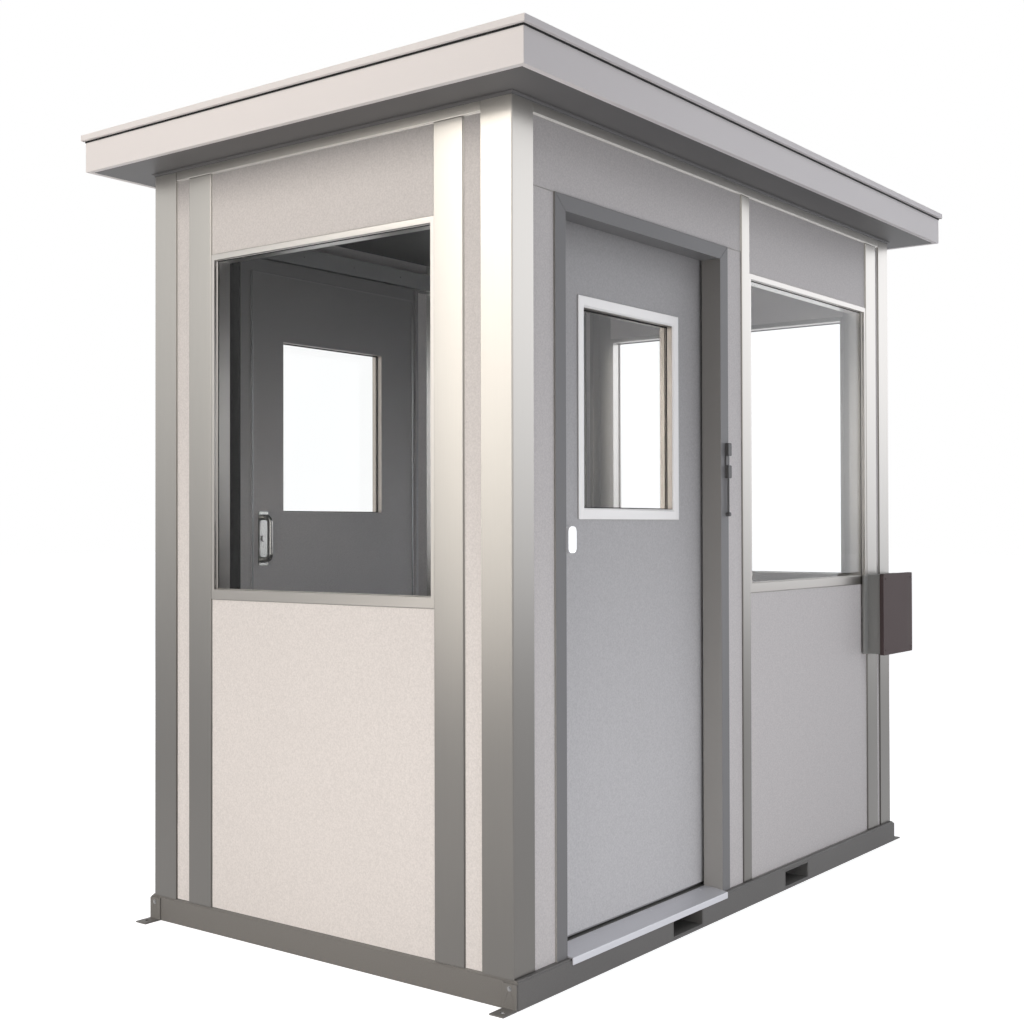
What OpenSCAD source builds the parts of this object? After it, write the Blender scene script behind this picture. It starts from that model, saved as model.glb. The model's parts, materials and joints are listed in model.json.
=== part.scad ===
// Transportable guard booth with a glazed end wall, two opposed sliding doors,
// fork pockets under the floor and a flat overhanging roof.
// Millimetres. The origin is on the ground under the middle of the booth, +Z is up,
// the front end wall faces -X and the near long wall faces -Y.
// In the modules u runs from the front face to the rear, v from the near face to the far one.

/* [Booth] */
// Length over the corner posts
booth_l = 2616; // [2400:1:3000]
// Width over the corner posts
booth_w = 1520; // [1400:1:1800]
// Thickness of the walls
wall_t = 72; // [60:1:90]
// Height of the soffit above the ground
soffit_z = 2515; // [2490:1:2700]
// How far the wall panels sit behind the posts
panel_recess = 6; // [2:1:12]

/* [Base] */
// Height of the base rails
base_h = 82; // [78:1:110]
// How far the long rails stand proud of the long walls
base_side_proud = 15; // [5:1:30]
// How far the rails stand proud of the end walls
base_end_proud = 2; // [1:1:10]
// Height of the floor above the base rails
floor_rise = 12; // [8:1:16]
// Thickness of the floor deck
floor_t = 24; // [20:1:30]
// Width of a fork pocket, over the tube
pocket_w = 192; // [150:1:230]
// Distance between the middles of the fork pockets
pocket_spacing = 788; // [600:1:1000]
// Wall of a fork pocket tube
pocket_wall = 5; // [3:0.5:8]
// Height of a fork pocket above the ground
pocket_lift = 8; // [5:1:12]
// Thickness of the rail channels
rail_t = 8; // [7:0.5:10]
// Width of the small ledge along the top of a rail
ledge_w = 4; // [2:0.5:6]
// Height of that ledge
ledge_h = 5; // [3:0.5:6]

/* [Anchor clips] */
// Width of an anchor clip
clip_w = 50; // [40:1:70]
// Length of the foot that lies on the ground
clip_foot = 60; // [45:1:80]
// Height of the leg on the base rail
clip_leg = 74; // [50:1:76]
// Thickness of the clip plate
clip_t = 5; // [3:0.5:8]
// Hole for the ground anchor
clip_hole_d = 14; // [10:0.5:18]
// Hole for the screw into the rail
clip_screw_d = 7; // [5:0.5:9]

/* [Posts and studs] */
// Face of a corner post on the long walls
post_side = 98; // [85:1:120]
// Face of a corner post on the end walls
post_end = 110; // [85:1:130]
// Narrow panel between a corner post and a front stud
front_strip = 65; // [40:1:90]
// Width of a front stud
front_stud = 108; // [80:1:130]
// Width of a rear stud
rear_stud = 62; // [50:1:90]
// Narrow panel between the front post and the door frame
lead_strip = 105; // [80:1:130]
// Narrow panel between the door frame and the mullion
trail_strip = 104; // [80:1:130]
// Width of the mullion behind the door
mullion_w = 57; // [45:1:80]
// Width of the stud at the rear of a long wall
rear_mullion_w = 98; // [70:1:120]
// Narrow panel between that stud and the rear post
rear_strip = 30; // [20:1:60]
// Height of the rail along the top of the walls
top_rail_h = 39; // [30:1:60]
// Rounding of the posts' outer edge
post_round = 4; // [2:1:8]

/* [Windows] */
// Underside of the sill bar
sill_z = 1085; // [1000:1:1200]
// Height of the sill bar
sill_h = 32; // [24:1:45]
// Top of the head bar
head_z = 2209; // [2150:1:2280]
// Height of the head bar
head_h = 19; // [14:1:30]
// Width of a side bar
bar_w = 14; // [10:1:25]
// How far a window frame stands in front of the panels
bar_proud = 4; // [1:0.5:5]
// Depth of the glass behind the face of the frame
glass_set = 14; // [8:1:24]
// Thickness of the glass
glass_t = 6; // [4:1:10]
// How deep the glass sits in the bars
glass_bite = 7; // [4:0.5:9]

/* [Door opening] */
// Clear width of the doorway
door_clear_w = 914; // [760:1:960]
// Clear height of the doorway above the floor
door_clear_h = 2134; // [2050:1:2160]
// Face of a door jamb
jamb_face = 52; // [40:1:65]
// Face of the door head
head_face = 47; // [35:1:60]
// How far the threshold stands in front of the base rail
threshold_lip = 5; // [3:1:10]
// How far the lip of the threshold hangs down over the rail
threshold_drop = 18; // [10:1:22]
// How far the nose of the threshold falls below its top
nose_fall = 9; // [5:0.5:11]
// Depth of the flat top of the threshold, from the inner face of the wall
threshold_flat = 40; // [25:1:60]
// Width of the mitre line at the frame's corners
mitre_w = 1.5; // [1:0.25:3]
// Depth of the mitre line
mitre_d = 1.5; // [1:0.25:3]

/* [Door leaf] */
// Thickness of a door leaf
leaf_t = 50; // [40:1:55]
// Running gap between the leaf and the wall
leaf_gap = 11; // [10:0.5:14]
// Lap of the leaf over the front jamb
lap_lead = 12; // [8:1:30]
// Lap of the leaf over the rear jamb
lap_trail = 35; // [20:1:60]
// Lap of the leaf over the door head
lap_top = 37; // [20:1:45]
// Running gap between the leaf and the floor
leaf_floor_gap = 10; // [6:1:15]
// Thickness of the rubber nose on the leading edge
nose_t = 22; // [18:1:30]
// Rounding of the nose
nose_round = 14; // [8:1:16]
// Edge of the leaf to the groove of its inner face
leaf_border = 46; // [36:1:60]
// Width of that groove
groove_w = 4; // [2:0.5:6]
// Depth of that groove
groove_d = 2; // [1:0.5:3]
// Diameter of the half-round bead on the trailing edge, inside
bead_d = 18; // [12:1:24]
// Leading edge of the leaf to the light, over its trim
lite_from_lead = 190; // [150:1:230]
// Foot of the leaf to the light, over its trim
lite_from_foot = 1236; // [1150:1:1300]
// Width of the light over its trim
lite_w = 589; // [500:1:640]
// Height of the light over its trim
lite_h = 678; // [560:1:760]
// Width of the trim round the light
lite_trim = 35; // [20:1:50]
// How far the trim stands off the leaf
lite_trim_t = 5; // [3:1:6]
// Bevel on the inner edge of the trim
lite_bevel = 8; // [3:1:12]
// Thickness of the glass in the light
lite_glass_t = 8; // [5:1:12]

/* [Door handles] */
// Leading edge of the leaf to the middle of the handles
handle_from_lead = 125; // [110:1:140]
// Foot of the leaf to the middle of the inside handle
handle_from_foot = 1175; // [1050:1:1230]
// Length of the inside handle
handle_len = 190; // [140:1:240]
// Width of the plate under the inside handle
handle_plate_w = 44; // [36:1:60]
// Thickness of that plate
handle_plate_t = 5; // [3:1:8]
// Diameter of the inside grip
grip_d = 20; // [14:1:26]
// How far the inside grip stands off the leaf
grip_out = 48; // [44:1:60]
// Bend of the inside grip, to its middle line
grip_bend = 22; // [18:1:26]
// Length of the thumb latch
latch_len = 44; // [36:1:60]
// Length of the outside pull
pull_len = 78; // [60:1:100]
// Width of the outside pull
pull_w = 40; // [30:1:55]
// How far the outside pull stands off the leaf
pull_out = 26; // [18:1:32]
// Rounding of the outside pull
pull_round = 14; // [8:1:14]

/* [Door track] */
// Depth of the track housing from the wall
track_d = 68; // [66:1:80]
// Height of the track housing
track_h = 62; // [56:1:80]
// Sheet of the track housing
track_t = 4; // [3:0.5:5]
// Slot in the underside of the track
track_slot = 14; // [12:1:16]
// Gap between the leaf and the track above it
track_gap = 8; // [6:1:14]
// Travel of a door
door_travel = 740; // [600:1:760]
// Diameter of a hanger wheel
wheel_d = 34; // [26:1:38]
// Width of a hanger wheel
wheel_w = 14; // [10:1:16]
// Running clearance of the wheels on the track
wheel_clear = 0.3; // [0.1:0.1:0.8]
// Thickness of a hanger plate
hanger_t = 4; // [3:0.5:5]
// Width of a hanger plate
hanger_w = 60; // [46:1:90]
// End of the leaf to the middle of a hanger
hanger_inset = 110; // [80:1:160]
// Thickness of the hanger's foot on the leaf
hanger_foot_t = 3; // [2:0.5:3]
// Depth of the hanger's foot
hanger_foot_d = 36; // [24:1:46]

/* [Roof] */
// Overhang of the roof beyond the walls, to the fascia
overhang = 161; // [100:1:220]
// Height of the fascia
fascia_h = 105; // [80:1:140]
// Thickness of the fascia boards
fascia_t = 20; // [12:1:30]
// Thickness of the roof cap
cap_t = 20; // [14:1:30]
// How far the cap stands out over the fascia
cap_lip = 12; // [10:1:20]
// Width of the drip groove under the lip
drip_w = 4; // [2:0.5:5]
// Depth of the drip groove
drip_d = 5; // [3:0.5:8]
// Width of the trim under the soffit
trim_w = 8; // [5:1:16]
// Height of the trim under the soffit
trim_h = 10; // [7:1:20]
// Upright edge of that trim, above its cove
trim_nib = 2; // [1:1:5]
// Underside of the ceiling below the soffit
ceiling_drop = 125; // [95:1:145]
// Thickness of the ceiling
ceiling_t = 25; // [12:1:40]

/* [Breaker box and catch] */
// Width of the breaker box
box_w = 293; // [220:1:340]
// Height of the breaker box
box_h = 320; // [260:1:400]
// Depth of the breaker box with its cover
box_d = 81; // [60:1:110]
// Height of the box above the ground
box_z = 801; // [700:1:1000]
// How far the box stands past the rear of the booth
box_past = 42; // [0:1:60]
// Depth of the cover
cover_t = 16; // [10:1:30]
// How far the cover stands past the sides of the box
cover_lip = 4; // [2:1:8]
// Rounding of the cover's corners
cover_round = 6; // [3:1:12]
// Thickness of the plate that the box is fixed to
backplate_t = 12; // [6:1:20]
// How far that plate shows past the box
backplate_past = 29; // [15:1:40]
// Height of the catch on the near door frame
catch_h = 120; // [90:1:150]
// Width of the catch
catch_w = 22; // [16:1:30]
// Depth of the catch
catch_d = 14; // [10:1:20]
// Thickness of the catch's plate
catch_plate_t = 5; // [3:1:8]
// Height of each lug on the catch
lug_h = 44; // [30:1:50]
// Underside of the catch above the ground
catch_z = 1482; // [1400:1:1560]
// Diameter of the rod under the catch
rod_d = 7; // [5:1:10]
// Length of the rod
rod_len = 130; // [80:1:160]

/* [Hidden] */
$fn = 48;
eps = 1;
// Flats in a quarter turn of a small round
arc_steps = 6;

// Heights
floor_z = base_h + floor_rise;
floor_under = floor_z - floor_t;
wall_top = soffit_z - top_rail_h;
fascia_top = soffit_z + fascia_h;
ceiling_z = soffit_z - ceiling_drop;

// Places along a long wall, from the front face
frame_u0 = post_side + lead_strip;
clear_u0 = frame_u0 + jamb_face;
clear_u1 = clear_u0 + door_clear_w;
frame_u1 = clear_u1 + jamb_face;
mullion_u0 = frame_u1 + trail_strip;
bay_u0 = mullion_u0 + mullion_w;
post_u1 = booth_l - post_side;
strip_u1 = post_u1 - rear_strip;
bay_u1 = strip_u1 - rear_mullion_w;

// Places across the end walls, from the near face
front_stud_v = post_end + front_strip;
front_win_v = front_stud_v + front_stud;
rear_win_v = post_end + rear_stud;

// Outer face of the window bars, and where the glass lies
bar_face = panel_recess - bar_proud;
pane_depth = [bar_face + glass_set, bar_face + glass_set + glass_t];

// Breaker box along the near wall
box_u1 = booth_l + box_past;
box_u0 = box_u1 - box_w;

// Door opening, leaf and track
door_head_z = floor_z + door_clear_h;
frame_top_z = door_head_z + head_face;
leaf_v0 = wall_t + leaf_gap;
leaf_v1 = leaf_v0 + leaf_t;
leaf_u0 = clear_u0 - lap_lead;
leaf_u1 = clear_u1 + lap_trail;
leaf_z0 = floor_z + leaf_floor_gap;
leaf_z1 = door_head_z + lap_top;
lite_u0 = leaf_u0 + lite_from_lead;
lite_z0 = leaf_z0 + lite_from_foot;
handle_u = leaf_u0 + handle_from_lead;
handle_z = leaf_z0 + handle_from_foot;
track_z0 = leaf_z1 + track_gap;
track_mid_v = (leaf_v0 + leaf_v1) / 2;
track_u0 = leaf_u0;
track_u1 = leaf_u1 + door_travel;
wheel_z = track_z0 + track_t + wheel_clear + wheel_d / 2;
wheel_space = track_slot + 2 * wheel_clear;

// A block between two places along u, v and z
module block(u, v, z) {
  translate([u[0] - booth_l / 2, v[0] - booth_w / 2, z[0]])
    cube([u[1] - u[0], v[1] - v[0], z[1] - z[0]]);
}

// An outline in v and z, drawn out along u
module along_u(u, outline) {
  translate([u[0] - booth_l / 2, -booth_w / 2, 0])
    rotate([90, 0, 90]) linear_extrude(u[1] - u[0]) polygon(outline);
}

// An outline in u and z, drawn out along v
module along_v(v, outline) {
  translate([-booth_l / 2, v[1] - booth_w / 2, 0])
    rotate([90, 0, 0]) linear_extrude(v[1] - v[0]) polygon(outline);
}

// An outline in u and v, drawn up along z
module upright(z, outline) {
  translate([-booth_l / 2, -booth_w / 2, z[0]]) linear_extrude(z[1] - z[0]) polygon(outline);
}

// A bar round in u and z, drawn along v
module pin(u, v, z, d) {
  translate([u - booth_l / 2, v[0] - booth_w / 2, z])
    rotate([-90, 0, 0]) cylinder(d = d, h = v[1] - v[0]);
}

// A plate in u and z with rounded corners
module rounded_plate(u, v, z, r) {
  block([u[0] + r, u[1] - r], v, z);
  block(u, v, [z[0] + r, z[1] - r]);
  for (x = [u[0] + r, u[1] - r], y = [z[0] + r, z[1] - r]) pin(x, v, y, 2 * r);
}

// Points of an arc about a middle point
function arc(mid, r, from, to) = [for (i = [0:arc_steps]) let (a = from + (to - from) * i / arc_steps)
  [mid[0] + r * cos(a), mid[1] + r * sin(a)]];

module far_side() {
  mirror([0, 1, 0]) children();
}

module both_sides() {
  children();
  far_side() children();
}

module both_ends() {
  children();
  mirror([1, 0, 0]) children();
}

// Base and floor

// A rail's channel, open toward the middle of the booth, with a ledge along its top.
// The rails are mitred at the corners.
function rail_outline(face) = [
  [face, 0], [wall_t, 0], [wall_t, rail_t], [face + rail_t, rail_t],
  [face + rail_t, base_h - rail_t], [wall_t, base_h - rail_t], [wall_t, base_h],
  [face + ledge_w, base_h], [face + ledge_w, base_h - ledge_h], [face, base_h - ledge_h]];

module base_long_rails() {
  u = [-base_end_proud, booth_l + base_end_proud];
  color([0.42, 0.41, 0.40])
    both_sides()
      difference() {
        intersection() {
          along_u(u, rail_outline(-base_side_proud));
          upright([-eps, base_h + eps], [[u[0], -base_side_proud], [u[1], -base_side_proud],
            [booth_l - wall_t, wall_t], [wall_t, wall_t]]);
        }
        both_ends() pocket_block(0);
      }
}

module base_end_rails() {
  v = [-base_side_proud, booth_w + base_side_proud];
  color([0.49, 0.47, 0.45])
    both_ends()
      intersection() {
        along_v(v, rail_outline(-base_end_proud));
        upright([-eps, base_h + eps], [[-base_end_proud, v[0]], [wall_t, wall_t],
          [wall_t, booth_w - wall_t], [-base_end_proud, v[1]]]);
      }
}

// The outline of one fork pocket, drawn in from the tube's outside by inset
module pocket_block(inset) {
  mid = booth_l / 2 - pocket_spacing / 2;
  reach = base_side_proud + (inset > 0 ? eps : 0);
  block([mid - pocket_w / 2 + inset, mid + pocket_w / 2 - inset],
        [-reach, booth_w + reach],
        [pocket_lift + inset, floor_under - inset]);
}

module fork_pockets() {
  color([0.36, 0.36, 0.36])
    both_ends()
      difference() {
        pocket_block(0);
        pocket_block(pocket_wall);
      }
}

module anchor_clip() {
  face_x = -booth_l / 2 - base_end_proud;
  side_y = -booth_w / 2 - base_side_proud;
  difference() {
    union() {
      translate([face_x - clip_t, side_y, 0]) cube([clip_t, clip_w, clip_leg]);
      translate([face_x - clip_t - clip_foot, side_y, 0]) cube([clip_foot + clip_t, clip_w, clip_t]);
    }
    translate([face_x - clip_t - clip_foot / 2, side_y + clip_w / 2, -eps])
      cylinder(d = clip_hole_d, h = clip_t + 2 * eps);
    translate([face_x - clip_t - eps, side_y + clip_w / 2, clip_leg - 2 * clip_screw_d])
      rotate([0, 90, 0]) cylinder(d = clip_screw_d, h = clip_t + 2 * eps);
  }
}

module anchor_clips() {
  color([0.40, 0.39, 0.38])
    both_ends() both_sides() anchor_clip();
}

module floor_deck() {
  color([0.45, 0.44, 0.42])
    block([wall_t, booth_l - wall_t], [wall_t, booth_w - wall_t], [floor_under, floor_z]);
}

// Posts, studs and wall panels

module corner_posts() {
  outline = concat(arc([post_round, post_round], post_round, 180, 270),
    [[post_side, 0], [post_side, wall_t], [wall_t, wall_t], [wall_t, post_end], [0, post_end]]);
  color([0.80, 0.79, 0.75])
    both_ends() both_sides() upright([base_h, soffit_z], outline);
}

module end_wall_studs() {
  color([0.80, 0.79, 0.75])
    both_sides() {
      block([0, wall_t], [front_stud_v, front_win_v], [base_h, wall_top]);
      block([booth_l - wall_t, booth_l], [post_end, rear_win_v], [base_h, wall_top]);
    }
}

module long_wall_mullions() {
  color([0.80, 0.79, 0.75])
    both_sides() {
      block([mullion_u0, bay_u0], [0, wall_t], [base_h, wall_top]);
      block([bay_u1, strip_u1], [0, wall_t], [base_h, wall_top]);
    }
}

module front_wall_panels() {
  color([0.86, 0.84, 0.81]) {
    both_sides()
      block([panel_recess, wall_t], [post_end, front_stud_v], [base_h, wall_top]);
    for (z = [[base_h, sill_z], [head_z, wall_top]])
      block([panel_recess, wall_t], [front_win_v, booth_w - front_win_v], z);
  }
}

module rear_wall_panels() {
  color([0.86, 0.84, 0.81])
    for (z = [[base_h, sill_z], [head_z, wall_top]])
      block([booth_l - wall_t, booth_l - panel_recess], [rear_win_v, booth_w - rear_win_v], z);
}

// Window bay, the panel over the doorway and the strip at the rear post
module long_wall_panels() {
  color([0.86, 0.84, 0.81]) {
    for (z = [[base_h, sill_z], [head_z, wall_top]])
      block([bay_u0, bay_u1], [panel_recess, wall_t], z);
    block([post_side, mullion_u0], [panel_recess, wall_t], [frame_top_z, wall_top]);
    block([strip_u1, post_u1], [panel_recess, wall_t], [base_h, wall_top]);
  }
}

module near_wall_panels() {
  long_wall_panels();
}

module far_wall_panels() {
  far_side() long_wall_panels();
}

module door_side_panels() {
  color([0.86, 0.84, 0.81])
    for (u = [[post_side, frame_u0], [frame_u1, mullion_u0]])
      block(u, [panel_recess, wall_t], [base_h, frame_top_z]);
}

module near_door_side_panels() {
  door_side_panels();
}

module far_door_side_panels() {
  far_side() door_side_panels();
}

module wall_top_rails() {
  color([0.80, 0.79, 0.75]) {
    both_sides() block([post_side, booth_l - post_side], [0, wall_t], [wall_top, soffit_z]);
    both_ends() block([0, wall_t], [post_end, booth_w - post_end], [wall_top, soffit_z]);
  }
}

// Windows

// Window frames, each a ring of bars with a groove that holds the glass
module long_window_frame() {
  color([0.88, 0.87, 0.85])
    difference() {
      block([bay_u0, bay_u1], [bar_face, wall_t], [sill_z, head_z]);
      block([bay_u0 + bar_w, bay_u1 - bar_w], [bar_face - eps, wall_t + eps],
            [sill_z + sill_h, head_z - head_h]);
      long_window_glass();
    }
}

module long_window_glass() {
  in = bar_w - glass_bite;
  block([bay_u0 + in, bay_u1 - in], pane_depth,
        [sill_z + sill_h - glass_bite, head_z - head_h + glass_bite]);
}

module end_window_frame(win_v) {
  color([0.88, 0.87, 0.85])
    difference() {
      block([bar_face, wall_t], [win_v, booth_w - win_v], [sill_z, head_z]);
      block([bar_face - eps, wall_t + eps], [win_v + bar_w, booth_w - win_v - bar_w],
            [sill_z + sill_h, head_z - head_h]);
      end_window_glass(win_v);
    }
}

module front_window_frame() {
  end_window_frame(front_win_v);
}

module rear_window_frame() {
  mirror([1, 0, 0]) end_window_frame(rear_win_v);
}

module near_window_frame() {
  long_window_frame();
}

module far_window_frame() {
  far_side() long_window_frame();
}

module end_window_glass(win_v) {
  in = bar_w - glass_bite;
  block(pane_depth, [win_v + in, booth_w - win_v - in],
        [sill_z + sill_h - glass_bite, head_z - head_h + glass_bite]);
}

module window_glass() {
  color([0.55, 0.62, 0.62, 0.4]) {
    end_window_glass(front_win_v);
    mirror([1, 0, 0]) end_window_glass(rear_win_v);
    both_sides() long_window_glass();
  }
}

// Door frames, thresholds and tracks

module door_frame() {
  half = mitre_w / 2;
  color([0.45, 0.45, 0.45])
    difference() {
      block([frame_u0, frame_u1], [0, wall_t], [base_h, frame_top_z]);
      block([clear_u0, clear_u1], [-eps, wall_t + eps], [base_h - eps, door_head_z]);
      for (u = [[frame_u0, clear_u0], [frame_u1, clear_u1]])
        along_v([-eps, mitre_d], [[u[0] - half, frame_top_z + eps], [u[0] + half, frame_top_z + eps],
          [u[1] + half, door_head_z - eps], [u[1] - half, door_head_z - eps]]);
    }
}

module near_door_frame() {
  door_frame();
}

module far_door_frame() {
  far_side() door_frame();
}

module door_thresholds() {
  front_v = -base_side_proud - threshold_lip;
  foot = base_h - threshold_drop;
  color([0.82, 0.82, 0.82])
    both_sides()
      along_u([clear_u0, clear_u1], [[front_v, foot], [-base_side_proud, foot], [-base_side_proud, base_h],
        [wall_t, base_h], [wall_t, floor_z], [wall_t - threshold_flat, floor_z],
        [front_v, floor_z - nose_fall]]);
}

// Box track with closed ends and a slot in its underside, on the inner face of the wall
module door_tracks() {
  v1 = wall_t + track_d;
  z1 = track_z0 + track_h;
  inside = [track_u0 + track_t, track_u1 - track_t];
  color([0.50, 0.50, 0.50])
    both_sides()
      difference() {
        block([track_u0, track_u1], [wall_t, v1], [track_z0, z1]);
        block(inside, [wall_t + track_t, v1 - track_t], [track_z0 + track_t, z1 - track_t]);
        block(inside, [track_mid_v - track_slot / 2, track_mid_v + track_slot / 2],
              [track_z0 - eps, track_z0 + track_t + eps]);
      }
}

// Sliding doors

// Flush leaf; its inner face has a groove along the border and a half-round bead at the trailing edge
module door_leaf() {
  color([0.66, 0.66, 0.67])
    difference() {
      union() {
        block([leaf_u0 + nose_t, leaf_u1], [leaf_v0, leaf_v1], [leaf_z0, leaf_z1]);
        translate([leaf_u1 - bead_d - booth_l / 2, leaf_v1 - booth_w / 2, leaf_z0])
          cylinder(d = bead_d, h = leaf_z1 - leaf_z0);
      }
      block([lite_u0 + lite_trim, lite_u0 + lite_w - lite_trim], [leaf_v0 - eps, leaf_v1 + eps],
            [lite_z0 + lite_trim, lite_z0 + lite_h - lite_trim]);
      difference() {
        leaf_field(leaf_border - groove_w, [leaf_v1 - groove_d, leaf_v1 + eps]);
        leaf_field(leaf_border, [leaf_v1 - groove_d - eps, leaf_v1 + 2 * eps]);
      }
    }
}

// The field of the leaf inside a border
module leaf_field(border, v) {
  block([leaf_u0 + nose_t + border, leaf_u1 - border], v, [leaf_z0 + border, leaf_z1 - border]);
}

module door_nose() {
  r = nose_round;
  back_u = leaf_u0 + nose_t;
  outline = concat(
    arc([leaf_u0 + r, leaf_v0 + r], r, 270, 180),
    arc([leaf_u0 + r, leaf_v1 - r], r, 180, 90),
    [[back_u, leaf_v1], [back_u, leaf_v0]]);
  color([0.06, 0.06, 0.06]) upright([leaf_z0, leaf_z1], outline);
}

// Trim ring on the outer face of the leaf; inside, the light is flush with the leaf
module door_lite_frame() {
  u = [lite_u0, lite_u0 + lite_w];
  z = [lite_z0, lite_z0 + lite_h];
  color([0.85, 0.85, 0.84])
    difference() {
      block(u, [leaf_v0 - lite_trim_t, leaf_v0], z);
      intersection() {
        along_u(u, flared(z));
        upright(z, [for (p = flared(u)) [p[1], p[0]]]);
      }
    }
}

// The light's opening across one direction, as pairs of depth and place, wider at the face of the trim
function flared(span) = let (
    back = leaf_v0 + eps,
    face = leaf_v0 - lite_trim_t,
    a = span[0] + lite_trim,
    b = span[1] - lite_trim)
  [[back, a], [back, b], [leaf_v0, b], [face, b + lite_bevel], [face - eps, b + lite_bevel],
   [face - eps, a - lite_bevel], [face, a - lite_bevel], [leaf_v0, a]];

module door_lite_glass() {
  color([0.55, 0.62, 0.62, 0.4])
    block([lite_u0 + lite_trim, lite_u0 + lite_w - lite_trim],
          [track_mid_v - lite_glass_t / 2, track_mid_v + lite_glass_t / 2],
          [lite_z0 + lite_trim, lite_z0 + lite_h - lite_trim]);
}

// Bow grip on a plate inside, and a small pull outside
module door_handles() {
  color([0.78, 0.78, 0.78]) {
    union() {
      rounded_plate([handle_u - handle_plate_w / 2, handle_u + handle_plate_w / 2],
                    [leaf_v1, leaf_v1 + handle_plate_t],
                    [handle_z - handle_len / 2, handle_z + handle_len / 2], handle_plate_t);
      bow_grip();
      thumb_latch();
    }
    rounded_plate([handle_u - pull_w / 2, handle_u + pull_w / 2], [leaf_v0 - pull_out, leaf_v0],
                  [handle_z - pull_len / 2, handle_z + pull_len / 2], pull_round);
  }
}

// Round bar that leaves the plate, bends and runs along the leaf
module bow_grip() {
  reach = handle_len / 2 - grip_d;
  grip_v = leaf_v1 + grip_out - grip_d / 2;
  bend_v = grip_v - grip_bend;
  for (s = [-1, 1]) {
    pin(handle_u, [leaf_v1, bend_v], handle_z + s * reach, grip_d);
    translate([handle_u - booth_l / 2, bend_v - booth_w / 2, handle_z + s * (reach - grip_bend)])
      rotate([0, s < 0 ? 90 : -90, 0])
        rotate_extrude(angle = 90) translate([grip_bend, 0]) circle(d = grip_d);
  }
  translate([handle_u - booth_l / 2, grip_v - booth_w / 2, handle_z - reach + grip_bend])
    cylinder(d = grip_d, h = 2 * (reach - grip_bend));
}

// Small turn on the plate, between the plate and the grip
module thumb_latch() {
  t = handle_plate_t;
  out = leaf_v1 + 2 * t;
  pin(handle_u, [leaf_v1, out], handle_z, handle_plate_w / 2);
  rounded_plate([handle_u - t, handle_u + latch_len - t], [out - t / 2, out],
                [handle_z - t, handle_z + t], t / 2);
}

// Hangers: a foot and an upright plate on top of the leaf, with a wheel on each side
// that runs in the track
module door_hangers() {
  axle_len = wheel_space + 2 * wheel_w;
  color([0.35, 0.35, 0.35])
    for (u = [leaf_u0 + hanger_inset, leaf_u1 - hanger_inset])
      union() {
        block([u - hanger_w / 2, u + hanger_w / 2],
              [track_mid_v - hanger_foot_d / 2, track_mid_v + hanger_foot_d / 2],
              [leaf_z1, leaf_z1 + hanger_foot_t]);
        block([u - hanger_w / 2, u + hanger_w / 2],
              [track_mid_v - hanger_t / 2, track_mid_v + hanger_t / 2],
              [leaf_z1, wheel_z + wheel_d / 4]);
        pin(u, [track_mid_v - axle_len / 2, track_mid_v + axle_len / 2], wheel_z, wheel_d / 3);
        for (v = [track_mid_v - axle_len / 2, track_mid_v + wheel_space / 2])
          pin(u, [v, v + wheel_w], wheel_z, wheel_d);
      }
}

module near_door_leaf() {
  door_leaf();
}

module far_door_leaf() {
  far_side() door_leaf();
}

module near_door_nose() {
  door_nose();
}

module far_door_nose() {
  far_side() door_nose();
}

module near_door_lite_frame() {
  door_lite_frame();
}

module far_door_lite_frame() {
  far_side() door_lite_frame();
}

module near_door_lite_glass() {
  door_lite_glass();
}

module far_door_lite_glass() {
  far_side() door_lite_glass();
}

module near_door_handles() {
  door_handles();
}

module far_door_handles() {
  far_side() door_handles();
}

module near_door_hangers() {
  door_hangers();
}

module far_door_hangers() {
  far_side() door_hangers();
}

// Roof and ceiling

module ceiling_panel() {
  color([0.75, 0.73, 0.70])
    block([wall_t, booth_l - wall_t], [wall_t, booth_w - wall_t], [ceiling_z, ceiling_z + ceiling_t]);
}

module roof_panel() {
  color([0.45, 0.45, 0.45]) roof_slab(overhang - fascia_t, [soffit_z, fascia_top]);
}

// Fascia boards, mitred at the corners
module end_fascias() {
  in = overhang - fascia_t;
  color([0.86, 0.84, 0.81])
    both_ends()
      upright([soffit_z, fascia_top], [[-overhang, -overhang], [-in, -in], [-in, booth_w + in],
        [-overhang, booth_w + overhang]]);
}

module side_fascias() {
  in = overhang - fascia_t;
  color([0.86, 0.84, 0.81])
    both_sides()
      upright([soffit_z, fascia_top], [[-overhang, -overhang], [booth_l + overhang, -overhang],
        [booth_l + in, -in], [-in, -in]]);
}

// Flat cap with a drip groove under its lip
module roof_cap() {
  color([0.88, 0.86, 0.83])
    difference() {
      roof_slab(overhang + cap_lip, [fascia_top, fascia_top + cap_t]);
      difference() {
        roof_slab(overhang + (cap_lip + drip_w) / 2, [fascia_top - eps, fascia_top + drip_d]);
        roof_slab(overhang + (cap_lip - drip_w) / 2, [fascia_top - 2 * eps, fascia_top + drip_d + eps]);
      }
    }
}

// A slab over the whole booth that stands out past the walls by edge
module roof_slab(edge, z) {
  block([-edge, booth_l + edge], [-edge, booth_w + edge], z);
}

// Cove trim round the top of the walls: two coved slabs crossed, less the booth itself
module soffit_trim() {
  z = [soffit_z - trim_h - eps, soffit_z + eps];
  color([0.30, 0.30, 0.30])
    difference() {
      intersection() {
        along_u([-trim_w, booth_l + trim_w], coved(booth_w));
        along_v([-trim_w, booth_w + trim_w], coved(booth_l));
      }
      block([0, booth_l], [0, booth_w], z);
    }
}

// Outline of a slab with a cove down both of its edges
function coved(w) = concat(cove_edge(),
  [for (i = [arc_steps + 1:-1:0]) [w - cove_edge()[i][0], cove_edge()[i][1]]]);

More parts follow.
